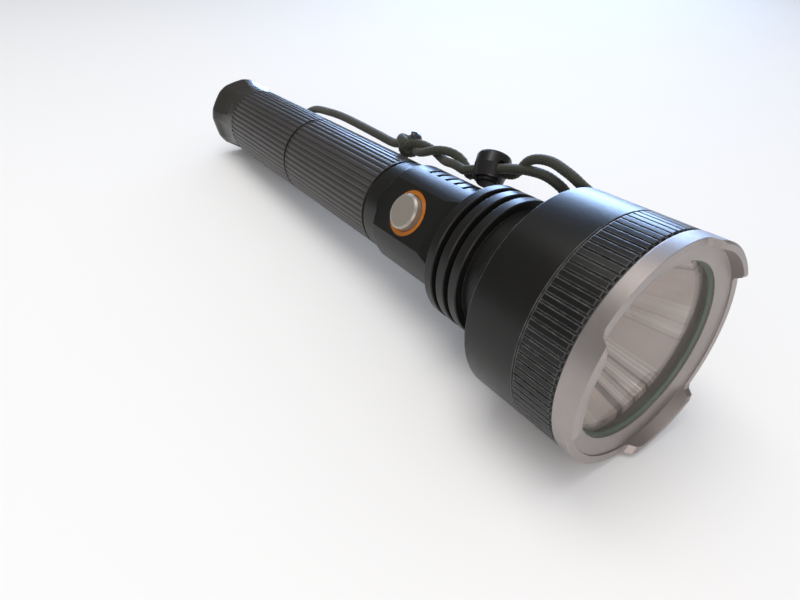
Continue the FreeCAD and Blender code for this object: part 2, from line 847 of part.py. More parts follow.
def cut_cooling_slots(body, rear):
    """A row of short cross slots beside the button flat."""
    angle = size("slot_clock").value
    foot = size("block_radius") - size("slot_depth")
    sketch = sketch_on(body, "slots_outline", "XY_Plane", ZERO)
    turn = FreeCAD.Rotation(FreeCAD.Vector(1, 0, 0), -angle)
    sketch.AttachmentOffset = FreeCAD.Placement(turn.multVec(FreeCAD.Vector(0, 0, foot.value)), turn)
    half, length = size("slot_width") / 2, size("slot_half_length")
    for i in range(int(size("slot_count").value)):
        middle = size("slot_first") + size("slot_pitch") * i - rear
        outline(sketch, [
            (middle - half, -length),
            (middle + half, -length),
            (middle + half, length),
            (middle - half, length),
        ])
    pocket(body, "slots", sketch, size("block_radius") + 2.0 - foot, reverse=True)


def make_head_seal():
    floor = size("bell_thread_radius") - size("seal_radius") * 1.5
    bore = size("bell_thread_radius") + size("running_clearance")
    seal_ring("head_seal", size("bell_rear") + 9, floor, bore)


# ---- switch, modelled with the button's axis on +Z ----

def place_switch_part(part):
    """Moves a switch part, modelled about +Z, to the button's station and clock."""
    place(part, size("button_station"), size("button_clock").value)


def make_button():
    """Metal button: bevelled cap, sealed stem."""
    body = new_body("switch_button")
    radius, bevel = size("button_radius"), size("button_bevel")
    groove = size("stem_foot") + 0.7
    floor = size("stem_radius") - size("seal_radius") * 1.5
    turned(body, "button_turning", ZERO, [
        (ZERO, size("stem_foot")),
        (size("stem_radius") - 0.2, size("stem_foot")),
        (size("stem_radius"), size("stem_foot") + 0.2),
        (size("stem_radius"), groove),
        (floor, groove),
        (floor, groove + 1.5),
        (size("stem_radius"), groove + 1.5),
        (size("stem_radius"), size("button_underside")),
        (radius, size("button_underside")),
        (radius, size("button_top") - bevel),
        (radius - bevel, size("button_top")),
        (radius - bevel - 0.4, size("button_top") - 0.15),
        (ZERO, size("button_top") - 0.15),
    ], axis="V_Axis")
    place_switch_part(body)


def make_button_seal():
    """O-ring on the button's stem; it slides with the button."""
    land = size("stem_radius") + 0.1
    floor = size("stem_radius") - size("seal_radius") * 1.5
    ring = keep(DOC.addObject("Part::Torus", "switch_seal"), "switch_seal")
    ring.setExpression("Radius1", ((land + floor) / 2).text)
    ring.setExpression("Radius2", ((land - floor) / 2 - size("seal_squeeze")).text)
    clock = size("button_clock").value
    turn = FreeCAD.Rotation(FreeCAD.Vector(1, 0, 0), -clock)
    height = size("stem_foot").value + 0.7 + 0.75
    centre = lamp_point(size("button_station").value, height, clock)
    ring.Placement = FreeCAD.Placement(centre, turn)


def make_light_ring():
    """Translucent ring round the button that carries the status light."""
    body = new_body("switch_light_ring")
    bevel = size("edge_bevel") * 0.5
    turned(body, "light_ring_turning", ZERO, [
        (size("ring_bore"), size("ring_seat")),
        (size("ring_radius"), size("ring_seat")),
        (size("ring_radius"), size("ring_top") - bevel),
        (size("ring_radius") - bevel, size("ring_top")),
        (size("ring_bore") + bevel, size("ring_top")),
        (size("ring_bore"), size("ring_top") - bevel),
    ], axis="V_Axis")
    place_switch_part(body)


def make_tact_switch():
    """Square tact switch with a round well for its plunger."""
    body = new_body("tact_switch")
    half = size("tact_size") / 2
    sketch = sketch_on(body, "tact_outline", "XY_Plane", size("tact_foot"))
    outline(sketch, [(-half, -half), (half, -half), (half, half), (-half, half)])
    pad(body, "tact_case", sketch, size("tact_top") - size("tact_foot"))
    well = sketch_on(body, "well_outline", "XY_Plane", size("tact_top"))
    circle(well, 0, 0, 1.6)
    pocket(body, "well", well, Size(2.3, "2.3"))
    place_switch_part(body)

    plunger = new_body("tact_plunger")
    rod = sketch_on(plunger, "rod_outline", "XY_Plane", size("tact_top") - 1.3)
    circle(rod, 0, 0, 1.55)
    pad(plunger, "rod", rod, size("stem_foot") - size("tact_top") + 1.3)
    place_switch_part(plunger)


def make_switch_board():
    """Small board under the tact switch, and the plastic saddle that holds it in the neck."""
    board = new_body("switch_board")
    sketch = sketch_on(board, "switch_board_outline", "XY_Plane", size("switch_board_foot"))
    outline(sketch, [(-5.5, -6.5), (5.5, -6.5), (5.5, 6.5), (-5.5, 6.5)])
    pad(board, "switch_board_plate", sketch, size("tact_foot") - size("switch_board_foot"))
    place_switch_part(board)

    holder = new_body("switch_holder")
    ring = sketch_on(holder, "saddle_outline", "YZ_Plane", Size(-6.0, "-6"))
    circle(ring, 0, 0, size("holder_radius"))
    pad(holder, "saddle_round", ring, Size(14.0, "14"))
    below = sketch_on(holder, "below_outline", "YZ_Plane", Size(-7.0, "-7"))
    reach = size("holder_radius") + 1
    floor = size("holder_floor")
    outline(below, [(-reach, -reach), (reach, -reach), (reach, floor), (-reach, floor)])
    pocket(holder, "below", below, Size(16.0, "16"), reverse=True)
    nest = sketch_on(holder, "nest_outline", "XY_Plane", size("switch_board_foot"))
    outline(nest, [(-6.5, -6.7), (6.7, -6.7), (6.7, 6.7), (-6.5, 6.7)])
    pocket(holder, "nest", nest, Size(8.0, "8"), reverse=True)
    place_switch_part(holder)


# ---- battery tube ----

def tube_profile(rear, front, spigot, socket_depth):
    """A tube segment with a forward spigot and a rear socket."""
    play, bevel, groove = size("running_clearance"), size("edge_bevel"), size("joint_groove")
    bore, radius, thread = size("tube_bore"), size("tube_radius"), size("thread_radius")
    return [
        (rear, thread + play),
        (rear + socket_depth, thread + play),
        (rear + socket_depth, bore),
        (front + spigot, bore),
        (front + spigot, thread - bevel),
        (front + spigot - bevel, thread),
        (front, thread),
        (front, radius - groove),
        (front - groove, radius),
        (rear + groove, radius),
        (rear, radius - groove),
    ]


def make_tube(label, rear, front):
    """One fluted battery tube, threaded at both ends."""
    body = new_body(label)
    spigot = size("spigot_length")
    turned(body, label + "_turning", rear, tube_profile(rear, front, spigot, spigot + 0.4))
    thread = size("thread_radius")
    threads(body, label + "_socket_thread", rear, rear + 4, thread + size("running_clearance"), 1)
    threads(body, label + "_spigot_thread", rear, front + 4, thread, -1)
    floor = thread - size("seal_radius") * 1.5
    groove = ring_profile(front + 0.7, front + 2.6, floor, thread + 0.2)
    grooved(body, label + "_seal_groove", rear, groove)
    sketch = sketch_on(body, label + "_flute_outline", "YZ_Plane", size("joint_groove") + 0.6)
    circle(sketch, 0, size("tube_radius") + size("flute_radius") - size("flute_depth"), size("flute_radius"))
    length = front - rear - size("joint_groove") * 2 - 1.2
    cutter = pocket(body, label + "_flute", sketch, length, reverse=True)
    around(body, label + "_flutes", cutter, sketch, size("flute_count"))
    place(body, rear)


def joint_seal(label, joint):
    thread = size("thread_radius")
    floor = thread - size("seal_radius") * 1.5
    seal_ring(label, joint + 1.65, floor, thread + size("running_clearance"))


def make_cell(label, rear):
    """A lithium cell with its raised positive nub."""
    body = new_body(label)
    front = rear + size("cell_length")
    radius, bevel = size("cell_radius"), size("edge_bevel")
    turned(body, label + "_can", rear, [
        (rear, ZERO),
        (rear, radius - bevel),
        (rear + bevel, radius),
        (front - bevel, radius),
        (front, radius - bevel),
        (front, size("nub_radius")),
        (front + size("nub_height"), size("nub_radius") - 0.3),
        (front + size("nub_height"), ZERO),
    ])
    place(body, rear)


# ---- tail cap ----

def make_tail_cap():
    """Eight-sided flared tail cap with a forward spigot and a lanyard tunnel in its solid end."""
    body = new_body("tail_cap")
    front, spigot = size("cap_front"), size("spigot_length")
    thread, bevel, waist = size("thread_radius"), size("edge_bevel"), size("cap_waist_radius")
    turned(body, "cap_turning", ZERO, [
        (ZERO, ZERO),
        (size("cap_floor"), ZERO),
        (size("cap_floor"), size("cap_cavity_radius")),
        (front + spigot, size("cap_cavity_radius")),
        (front + spigot, thread - bevel),
        (front + spigot - bevel, thread),
        (front, thread),
        (front, waist - bevel),
        (front - bevel, waist),
        (front * 0.72, waist),
        (front * 0.55, waist + 0.15),
        (front * 0.4, waist + 0.6),
        (front * 0.28, waist + 1.3),
        (front * 0.18, size("cap_end_radius") - 0.55),
        (front * 0.1, size("cap_end_radius")),
        (bevel, size("cap_end_radius")),
        (ZERO, size("cap_end_radius") - bevel),
    ])
    threads(body, "cap_thread", ZERO, front + 4, thread, -1)
    floor = thread - size("seal_radius") * 1.5
    grooved(body, "cap_seal_groove", ZERO, ring_profile(front + 0.7, front + 2.6, floor, thread + 0.2))
    cut_facets(body)
    cut_tunnel(body)
    place(body, ZERO, size("cap_clock").value)


def cut_facets(body):
    """Soft facets round the cap, each following the cap's flare and fading out before the front rim."""
    sketch = sketch_on(body, "facet_side", "XZ_Plane", ZERO)
    end, waist = size("cap_end_radius"), size("cap_waist_radius")
    length = size("cap_front")
    top = end + 3
    outline(sketch, [
        (Size(-1.0, "-1"), top),
        (Size(-1.0, "-1"), end - 0.6),
        (length * 0.10, end - 0.7),
        (length * 0.18, end - 1.35),
        (length * 0.28, end - 2.2),
        (length * 0.42, waist - 0.15),
        (length * 0.62, waist - 0.45),
        (length * 0.84, waist - 0.05),
        (length * 0.84, top),
    ])
    cutter = pocket(body, "facet", sketch, size("cap_end_radius") * 2, both_ways=True)
    around(body, "facets", cutter, sketch, size("facet_count"))


def cut_tunnel(body):
    """A curved tunnel that the cord threads through, entering and leaving on one facet."""
    centre = size("facet_end_distance") + 0.6
    sketch = sketch_on(body, "tunnel_outline", "XY_Plane", centre)
    station = size("tunnel_station")
    circle(sketch, station, size("tunnel_ring_radius"), size("tunnel_bore"))

    def make():
        groove = body.newObject("PartDesign::Groove", "lanyard_tunnel")
        groove.Profile = sketch
        groove.ReferenceAxis = (sketch, ["H_Axis"])
        groove.Angle = 360.0
        sketch.Visibility = False
        body.Tip = groove
        return groove
    checked_cut(body, make)


def make_tail_contact():
    """Tail contact board, its retaining ring and the spring that pushes the cells forward."""
    floor, thickness = size("cap_floor"), size("board_thickness")
    board = new_body("tail_contact_board")
    sketch = sketch_on(board, "tail_board_outline", "YZ_Plane", ZERO)
    circle(sketch, 0, 0, size("board_radius"))
    pad(board, "tail_board_plate", sketch, thickness)
    place(board, floor)
    retaining_ring("tail_retainer", floor + thickness, size("board_radius"), size("retainer_bore"), 20.0)
    wire = Size(0.6, "0.6")
    base = floor + thickness + wire + 0.1
    length = size("cell_rear") - base - wire - 0.2
    contact_spring("tail_spring", base, length, Size(8.6, "8.6"), wire, 6, 8.0, 1)


# ---- lanyard ----

def lamp_point(station, distance, clock):
    """A point given by its station, its distance from the axis and its clock angle."""
    angle = math.radians(clock)
    return FreeCAD.Vector(station, distance * math.sin(angle), distance * math.cos(angle))


def cord_along(points, radius):
    """A round cord swept along a smooth curve that points guide; it starts and ends on the outer two."""
    curve = Part.BSplineCurve()
    curve.buildFromPoles(points, False, 3)
    spine = Part.Wire(curve.toShape())
    start = curve.value(curve.FirstParameter)
    heading = curve.tangent(curve.FirstParameter)[0]
    section = Part.Wire(Part.makeCircle(radius, start, heading))
    return spine.makePipeShell([section], True, False)


def make_lanyard():
    """Cord from the tail tunnel to a knot, twisted to the cord lock, then a wrist loop behind the bell."""
    radius = size("cord_radius").value
    lock = lock_frame()
    knot = lamp_point(148.8, 22.6, 33.0)
    facet_clock = size("cap_clock").value
    centre = size("facet_end_distance").value + 0.6
    bend = size("tunnel_ring_radius").value
    station = size("tunnel_station").value

    facet_turn = FreeCAD.Rotation(FreeCAD.Vector(1, 0, 0), -facet_clock)

    def tunnel_point(side, out, ahead=0.0):
        """A point beside the tunnel: side along the facet, out from the facet's tunnel centre."""
        return facet_turn.multVec(FreeCAD.Vector(station + ahead, side, centre + out))

    turn_out = size("tunnel_turn_radius").value
    turn_steps = [math.radians(a) for a in (0, 30, 60, 90)]
    rise = [(turn_out * math.sin(a), turn_out * (1 - math.cos(a))) for a in turn_steps]
    knot_end = 2.0
    high_side = [
        knot + FreeCAD.Vector(-knot_end, -knot_end, 0),
        lamp_point(139.6, 21.0, 33.4),
        lamp_point(126.2, 21.3, 32.9),
        lamp_point(109.3, 21.8, 33.8),
        lamp_point(94.5, 22.0, 34.9),
        lamp_point(81.2, 21.4, 37.0),
        lamp_point(62.0, 20.6, 48.0),
        lamp_point(38.0, 20.9, 76.0),
        lamp_point(18.0, 22.3, 100.0),
    ]
    high_side += [tunnel_point(-bend, out, ahead) for out, ahead in reversed(rise)]
    low_side = [tunnel_point(bend, out, ahead) for out, ahead in rise]
    low_side += [
        lamp_point(18.0, 22.3, 138.0),
        lamp_point(40.0, 20.7, 122.0),
        lamp_point(80.0, 20.4, 103.0),
        lamp_point(115.0, 20.4, 85.0),
        lamp_point(134.0, 20.6, 66.0),
        lamp_point(142.0, 20.9, 50.0),
        knot + FreeCAD.Vector(-knot_end, knot_end, -knot_end * 0.5),
    ]
    twist = [
        knot + FreeCAD.Vector(knot_end, 0, 0),
        lamp_point(157.1, 23.4, 33.7),
        lamp_point(167.1, 24.5, 36.3),
        lamp_point(175.0, 24.7, 38.5),
        lock(-9.4, 0, 0),
    ]
    spread = radius + 0.05
    loop = [
        lock(7.2, spread, 0),
        lock(9.6, spread + 0.3, 0.6),
        lamp_point(206.4, 34.4, 36.0),
        lamp_point(213.0, 36.4, 36.6),
        lamp_point(220.5, 35.4, 38.0),
        lamp_point(226.5, 33.6, 42.0),
        lamp_point(227.0, 35.5, 60.0),
        lamp_point(222.5, 40.5, 84.0),
        lamp_point(214.0, 47.5, 103.0),
        lamp_point(204.0, 54.0, 116.0),
        lamp_point(195.0, 55.5, 120.0),
        lamp_point(190.0, 51.0, 114.0),
        lamp_point(197.0, 43.0, 96.0),
        lamp_point(208.0, 35.5, 76.0),
        lamp_point(217.0, 31.8, 58.0),
        lamp_point(221.0, 30.6, 46.0),
        lamp_point(214.5, 31.9, 40.5),
        lamp_point(207.0, 31.3, 38.8),
        lock(9.6, -spread - 0.3, -0.2),
        lock(7.2, -spread, 0),
    ]
    inside = Part.Arc(tunnel_point(-bend, 0), tunnel_point(0, -bend), tunnel_point(bend, 0)).toShape()
    mouth = Part.makeCircle(radius, tunnel_point(-bend, 0), tunnel_point(0, 1) - tunnel_point(0, 0))
    stretches = [
        cord_along(high_side, radius),
        Part.Wire(inside).makePipeShell([Part.Wire(mouth)], True, False),
        cord_along(low_side, radius),
        cord_along(twist, size("twist_radius").value),
        flat_pair(lock),
        cord_along(loop, radius - 0.05),
    ]
    # the ball's seam faces sideways, clear of the strands that enter it from front and rear
    solid = Part.makeSphere(size("knot_radius").value, knot)
    solid.rotate(knot, FreeCAD.Vector(0, 0, 1), -90)
    for stretch in stretches:
        solid = solid.fuse(stretch)
    lanyard = keep(DOC.addObject("Part::Feature", "lanyard_cord"), "lanyard_cord")
    lanyard.Shape = solid.Solids[0]


def flat_pair(lock):
    """The two strands side by side where they run straight through the cord lock."""
    radius = size("cord_radius").value
    half = radius + 0.12
    start, end = -10.0, 8.9
    sides = ((-half, -radius), (half, -radius), (half, radius), (-half, radius))
    corners = [lock(start, y, z) for y, z in sides]
    bottom = Part.makeLine(corners[0], corners[1])
    top = Part.makeLine(corners[2], corners[3])
    right = Part.Arc(corners[1], lock(start, half + radius, 0), corners[2]).toShape()
    left = Part.Arc(corners[3], lock(start, -half - radius, 0), corners[0]).toShape()
    face = Part.Face(Part.Wire([bottom, right, top, left]))
    return face.extrude(lock(end, 0, 0) - lock(start, 0, 0))


# ---- cord lock, modelled with the cord along X and its top on +Z ----

def lock_placement():
    """The lock leans back from the lamp's surface by its lean angle."""
    clock = FreeCAD.Rotation(FreeCAD.Vector(1, 0, 0), -size("lock_clock").value)
    lean = FreeCAD.Rotation(FreeCAD.Vector(0, 1, 0), -size("lock_lean").value)
    base = lamp_point(size("lock_station").value, size("lock_distance").value, size("lock_clock").value)
    return FreeCAD.Placement(base, clock.multiply(lean))


def lock_frame():
    """Gives a function that turns a point of the lock's own frame into the lamp's frame."""
    placement = lock_placement()
    return lambda x, y, z: placement.multVec(FreeCAD.Vector(x, y, z))


def cut_window(body, name, middle):
    """The through window that the cord runs in, along X."""
    sketch = sketch_on(body, name + "_outline", "YZ_Plane", ZERO)
    half, height = size("window_half_width"), size("window_half_height")
    outline(sketch, [
        (-half, middle - height * 0.4),
        (-(half * 0.8), middle - height),
        (half * 0.8, middle - height),
        (half, middle - height * 0.4),
        (half, middle + height * 0.4),
        (half * 0.8, middle + height),
        (-(half * 0.8), middle + height),
        (-half, middle + height * 0.4),
    ])
    pocket(body, name, sketch, size("barrel_radius") * 3, both_ways=True)


def make_cord_lock():
    """Sprung cord lock: flared barrel, plunger with its own window, and the spring between them."""
    radius, foot, bevel = size("barrel_radius"), size("barrel_foot_radius"), size("edge_bevel")
    low, shoulder, top = size("barrel_foot"), size("barrel_shoulder"), size("barrel_top")
    bore, wall = size("barrel_bore"), size("barrel_wall")
    barrel = new_body("cord_lock_barrel")
    turned(barrel, "barrel_turning", ZERO, [
        (bore, low),
        (foot - 0.15, low),
        (foot, low + 0.4),
        (radius, shoulder),
        (radius, top - bevel * 2),
        (radius - bevel * 0.6, top - bevel * 0.7),
        (radius - bevel * 2, top),
        (ZERO, top),
        (ZERO, top - wall),
        (bore, top - wall),
    ], axis="V_Axis")
    cut_window(barrel, "barrel_window", size("window_offset"))
    barrel.Placement = lock_placement()

    plunger = new_body("cord_lock_plunger")
    slide = bore - size("lock_play")
    turned(plunger, "plunger_turning", ZERO, [
        (ZERO, size("plunger_foot")),
        (slide - bevel, size("plunger_foot")),
        (slide, size("plunger_foot") + bevel),
        (slide, size("plunger_head")),
        (ZERO, size("plunger_head")),
    ], axis="V_Axis")
    cut_window(plunger, "plunger_window", -size("window_offset"))
    plunger.Placement = lock_placement()

    wire = Size(0.3, "0.3")
    base = size("plunger_head") + wire + 0.05
    length = top - wall - base - wire - 0.05
    spring = coil("cord_lock_spring", length, Size(2.8, "2.8"), wire, 2, 0.0)
    raised = FreeCAD.Placement(FreeCAD.Vector(0, 0, base.value), FreeCAD.Rotation())
    spring.Placement = lock_placement().multiply(raised)


def check_and_write():
    """Stops on any failed object, then writes one STEP file for each sub-part."""
    DOC.recompute()
    failed = [item.Name for item in DOC.Objects if {"Invalid", "Error"} & set(item.State)]
    if failed:
        raise RuntimeError(f"failed objects: {failed}")
    os.makedirs("parts", exist_ok=True)
    for part in SUB_PARTS:
        if part.Shape.isNull() or not part.Shape.isValid():
            raise RuntimeError(f"{part.Label} has no valid shape")
        part.Shape.exportStep(f"parts/{part.Label}.step")
        print(f"{part.Label}: {len(part.Shape.Solids)} solid, {part.Shape.Volume:.1f} mm3")


fill_sheet()
make_bezel()
make_lens()
make_glow_ring()
make_bezel_seal()
make_reflector()
make_bell()
make_pill()
make_star()
make_emitter()
make_led_gasket()
make_leads()
make_driver()
make_front_contact()
make_neck()
make_head_seal()
make_button()
make_button_seal()
make_light_ring()
make_tact_switch()
make_switch_board()
make_tube("front_tube", size("mid_joint"), size("neck_joint"))
make_tube("rear_tube", size("cap_front"), size("mid_joint"))
joint_seal("front_tube_seal", size("neck_joint"))
joint_seal("rear_tube_seal", size("mid_joint"))
joint_seal("tail_cap_seal", size("cap_front"))
make_cell("front_cell", size("cell_rear") + size("cell_length") + size("nub_height"))
make_cell("rear_cell", size("cell_rear"))
make_tail_cap()
make_tail_contact()
make_lanyard()
make_cord_lock()
check_and_write()
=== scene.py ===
import bpy
import json
import math
from mathutils import Matrix, Vector


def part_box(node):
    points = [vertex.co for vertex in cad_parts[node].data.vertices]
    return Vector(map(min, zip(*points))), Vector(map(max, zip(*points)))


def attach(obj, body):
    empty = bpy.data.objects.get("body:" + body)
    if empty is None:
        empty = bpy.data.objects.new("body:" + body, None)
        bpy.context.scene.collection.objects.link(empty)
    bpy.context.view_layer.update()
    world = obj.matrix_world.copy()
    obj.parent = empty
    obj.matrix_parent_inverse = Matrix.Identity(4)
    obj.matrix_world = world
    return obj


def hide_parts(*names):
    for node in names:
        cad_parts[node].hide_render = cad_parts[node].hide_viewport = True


# A tactical flashlight. Frame: the lamp's axis is X, the beam leaves along +X, +Z is up, metres.
# "Clock" is an angle round the lamp's axis from +Z towards +Y, in degrees.

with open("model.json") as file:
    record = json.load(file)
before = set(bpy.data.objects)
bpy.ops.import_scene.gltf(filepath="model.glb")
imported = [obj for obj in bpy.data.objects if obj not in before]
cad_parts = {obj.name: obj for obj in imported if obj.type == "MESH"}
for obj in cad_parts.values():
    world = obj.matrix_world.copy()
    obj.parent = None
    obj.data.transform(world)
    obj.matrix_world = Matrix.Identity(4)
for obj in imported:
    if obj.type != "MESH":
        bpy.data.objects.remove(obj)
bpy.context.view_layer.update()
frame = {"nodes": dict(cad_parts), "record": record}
NODES = frame["nodes"]

MM = 0.001

# phase of the braid's waves, in radians for once round the cord: eight waves
BRAID_RATE = 50.27
FLUTES = 48.0

# the rear ends of the tubes and the neck, where the screw joints show as grooves darkened with painted
# shade
JOINT_STATIONS = [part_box(name)[0][0] for name in ("rear_tube", "front_tube", "neck_housing")]


def lamp(station, distance, clock):
    """A point from its station, its distance from the axis and its clock angle, in millimetres."""
    angle = math.radians(clock)
    return Vector((station, distance * math.sin(angle), distance * math.cos(angle))) * MM


# ---- materials ----

class Mat:
    """A node material with short calls for the nodes that every finish here uses."""

    def __init__(self, name):
        self.mat = bpy.data.materials.new(name)
        self.mat.use_nodes = True
        self.tree = self.mat.node_tree
        self.tree.nodes.clear()
        self.out = self.tree.nodes.new("ShaderNodeOutputMaterial")
        self.shader = self.node("ShaderNodeBsdfPrincipled")
        self.link(self.shader.outputs[0], self.out.inputs["Surface"])
        self.where = self.node("ShaderNodeTexCoord").outputs["Object"]
        self.bump_from = None

    def node(self, kind, **settings):
        node = self.tree.nodes.new(kind)
        for name, value in settings.items():
            setattr(node, name, value)
        return node

    def link(self, source, target):
        self.tree.links.new(source, target)

    def feed(self, socket, value):
        """Sets a socket to a number or colour, or links it to another node's output."""
        if isinstance(value, bpy.types.NodeSocket):
            self.link(value, socket)
        elif hasattr(value, "__len__") and len(value) == 3:
            socket.default_value = (*value, 1.0) if socket.type == "RGBA" else value
        else:
            socket.default_value = value

    def set(self, **inputs):
        for name, value in inputs.items():
            self.feed(self.shader.inputs[name.replace("_", " ")], value)

    def maths(self, operation, first, second=0.0):
        node = self.node("ShaderNodeMath", operation=operation)
        for socket, value in zip(node.inputs, (first, second)):
            self.feed(socket, value)
        return node.outputs[0]

    def noise(self, scale, detail=2.0, stretch=None, roughness=0.5):
        """Noise from 0 to 1; scale is in cycles a metre, and stretch squeezes it along an axis."""
        node = self.node("ShaderNodeTexNoise")
        node.inputs["Scale"].default_value = scale
        node.inputs["Detail"].default_value = detail
        node.inputs["Roughness"].default_value = roughness
        self.link(self.stretched(stretch), node.inputs["Vector"])
        return node.outputs["Fac"]

    def stretched(self, stretch):
        if stretch is None:
            return self.where
        mapping = self.node("ShaderNodeMapping")
        mapping.inputs["Scale"].default_value = stretch
        self.link(self.where, mapping.inputs["Vector"])
        return mapping.outputs["Vector"]

    def ramp(self, value, stops):
        """A colour ramp through (position, colour) stops."""
        node = self.node("ShaderNodeValToRGB")
        points = node.color_ramp.elements
        while len(points) < len(stops):
            points.new(0.5)
        for point, (position, colour) in zip(points, stops):
            point.position = position
            point.color = (*colour, 1.0) if hasattr(colour, "__len__") else (colour, colour, colour, 1.0)
        self.link(value, node.inputs["Fac"])
        return node.outputs["Color"]

    def mix(self, factor, first, second, blend="MIX"):
        node = self.node("ShaderNodeMix", data_type="RGBA", blend_type=blend)
        self.feed(node.inputs["Factor"], factor)
        self.feed(node.inputs["A"], first)
        self.feed(node.inputs["B"], second)
        return node.outputs["Result"]

    def axes(self):
        node = self.node("ShaderNodeSeparateXYZ")
        self.link(self.where, node.inputs[0])
        return node.outputs

    def clock(self):
        """The angle round the lamp's axis, in radians."""
        place = self.axes()
        return self.maths("ARCTAN2", place["Y"], place["Z"])

    def bump(self, height, distance, strength=1.0):
        """Adds a relief of the given depth in metres on top of any before it."""
        node = self.node("ShaderNodeBump")
        node.inputs["Distance"].default_value = distance
        node.inputs["Strength"].default_value = strength
        self.link(height, node.inputs["Height"])
        if self.bump_from is not None:
            self.link(self.bump_from, node.inputs["Normal"])
        self.bump_from = node.outputs["Normal"]
        self.link(self.bump_from, self.shader.inputs["Normal"])

    def rounded(self, radius):
        """Softens hard edges in the shading, and returns how near an edge each point is, from 0 to 1."""
        soft = self.node("ShaderNodeBevel", samples=4)
        soft.inputs["Radius"].default_value = radius
        self.bump_from = soft.outputs["Normal"]
        self.link(self.bump_from, self.shader.inputs["Normal"])
        face = self.node("ShaderNodeNewGeometry").outputs["Normal"]
        dot = self.node("ShaderNodeVectorMath", operation="DOT_PRODUCT")
        self.link(soft.outputs["Normal"], dot.inputs[0])
        self.link(face, dot.inputs[1])
        gap = self.maths("SUBTRACT", 1.0, dot.outputs["Value"])
        return self.maths("MINIMUM", self.maths("MULTIPLY", gap, 6.0), 1.0)

    def worn_and_highlit_edges(self, edge, base, bare, amount=0.6):
        """Shows paler bare metal along edges, a little uneven: partly rubbed metal and partly a painted
        edge highlight.
        """
        patches = self.ramp(self.noise(420.0, 3.0), [(0.35, 0.45), (0.62, 1.0)])
        factor = self.maths("MULTIPLY", self.maths("MULTIPLY", edge, patches), amount)
        return self.mix(factor, base, bare)


def anodised(name, dark, light, rough, bare, wear_and_highlight=0.5, metallic=0.1, depth=1.36, soft=0.00025):
    """Hard-anodised aluminium: a fine bead-blasted grain, slow tone changes and paler edges, partly rubbed
    bare and partly a painted highlight.
    """
    m = Mat(name)
    edge = m.rounded(soft)
    tone = m.mix(m.noise(60.0, 3.0), dark, light)
    m.set(
        Base_Color=m.worn_and_highlit_edges(edge, tone, bare, wear_and_highlight),
        Metallic=metallic,
        IOR=depth,
        Roughness=m.maths("ADD", rough, m.maths("MULTIPLY", m.noise(900.0, 2.0), 0.12)),
    )
    m.bump(m.noise(9000.0, 2.0), 0.00002, 0.35)
    return m


def bell_finish():
    # bare is the pale edge colour: rubbed metal and a strong painted highlight along the bell's edges
    dark, light, bare = (0.008, 0.008, 0.0075), (0.014, 0.0135, 0.013), (0.26, 0.26, 0.26)
    return anodised("bell_anodised", dark, light, 0.27, bare, wear_and_highlight=0.9, soft=0.0004).mat


def neck_finish():
    # bare is the pale edge colour: rubbed metal and a painted edge highlight
    dark, light, bare = (0.009, 0.009, 0.0085), (0.015, 0.0145, 0.014), (0.16, 0.16, 0.16)
    return anodised("neck_anodised", dark, light, 0.28, bare, wear_and_highlight=0.6).mat


def cap_finish():
    # bare is the pale edge colour: rubbed metal and a painted edge highlight
    dark, light, bare = (0.034, 0.033, 0.029), (0.050, 0.048, 0.043), (0.10, 0.10, 0.09)
    return anodised("cap_anodised", dark, light, 0.27, bare, wear_and_highlight=0.15, metallic=0.3).mat


def fluted_finish():
    """Warm grey anodising, with painted shade down in the flutes and in the grooves at the screw joints."""
    m = Mat("tube_anodised")
    edge = m.rounded(0.0002)
    # painted shade: the colour darkens between the flutes' ridges, where shade falls
    flutes = m.maths("COSINE", m.maths("MULTIPLY", m.clock(), FLUTES))
    floor = m.ramp(m.maths("ADD", m.maths("MULTIPLY", flutes, 0.5), 0.5), [(0.40, 1.0), (0.95, 0.62)])
    tone = m.mix(m.noise(70.0, 3.0), (0.070, 0.066, 0.064), (0.092, 0.088, 0.086))
    tone = m.mix(1.0, tone, floor, "MULTIPLY")
    # paler edges: rubbed metal and a painted edge highlight
    tone = m.worn_and_highlit_edges(edge, tone, (0.20, 0.19, 0.185), 0.25)
    station = m.axes()["X"]
    # painted shade in the grooves at the screw joints
    for joint in JOINT_STATIONS:
        away = m.maths("ABSOLUTE", m.maths("SUBTRACT", station, joint))
        joint_shade = m.ramp(m.maths("MULTIPLY", away, 500.0), [(0.26, 0.03), (0.50, 1.0)])
        tone = m.mix(1.0, tone, joint_shade, "MULTIPLY")
    m.set(
        Base_Color=tone,
        Metallic=0.45,
        IOR=1.4,
        Roughness=m.maths("ADD", 0.34, m.maths("MULTIPLY", m.noise(1200.0, 2.0), 0.12)),
    )
    m.bump(m.noise(9000.0, 2.0), 0.00002, 0.3)
    return m.mat


def blasted_bezel():
    """Pale bead-blasted aluminium with a soft satin and tiny pits."""
    m = Mat("bezel_blasted")
    edge = m.rounded(0.0003)
    tone = m.mix(m.noise(90.0, 3.0), (0.345, 0.312, 0.302), (0.405, 0.37, 0.36))
    m.set(
        # paler along the edges: a painted edge highlight
        Base_Color=m.mix(m.maths("MULTIPLY", edge, 0.4), tone, (0.60, 0.59, 0.58)),
        Metallic=0.8,
        Roughness=m.maths("ADD", 0.38, m.maths("MULTIPLY", m.noise(700.0, 2.0), 0.12)),
    )
    m.bump(m.noise(6500.0, 2.0), 0.00003, 0.5)
    return m.mat


def turned_metal(name, colour, rough=0.28, axis="X", metallic=1.0):
    """Machined metal with fine lines left by the tool, packed closely along one axis."""
    m = Mat(name)
    edge = m.rounded(0.00015)
    rings = m.noise(2600.0, 2.0, {"X": (1.0, 0.03, 0.03), "Z": (0.03, 0.03, 1.0)}[axis])
    tone = m.mix(rings, [c * 0.85 for c in colour], colour)
    m.set(
        # paler along the edges: a painted edge highlight
        Base_Color=m.mix(m.maths("MULTIPLY", edge, 0.4), tone, (0.9, 0.9, 0.9)),
        Metallic=metallic,
        Roughness=m.maths("ADD", rough, m.maths("MULTIPLY", rings, 0.1)),
    )
    m.bump(rings, 0.00002, 0.4)
    return m.mat


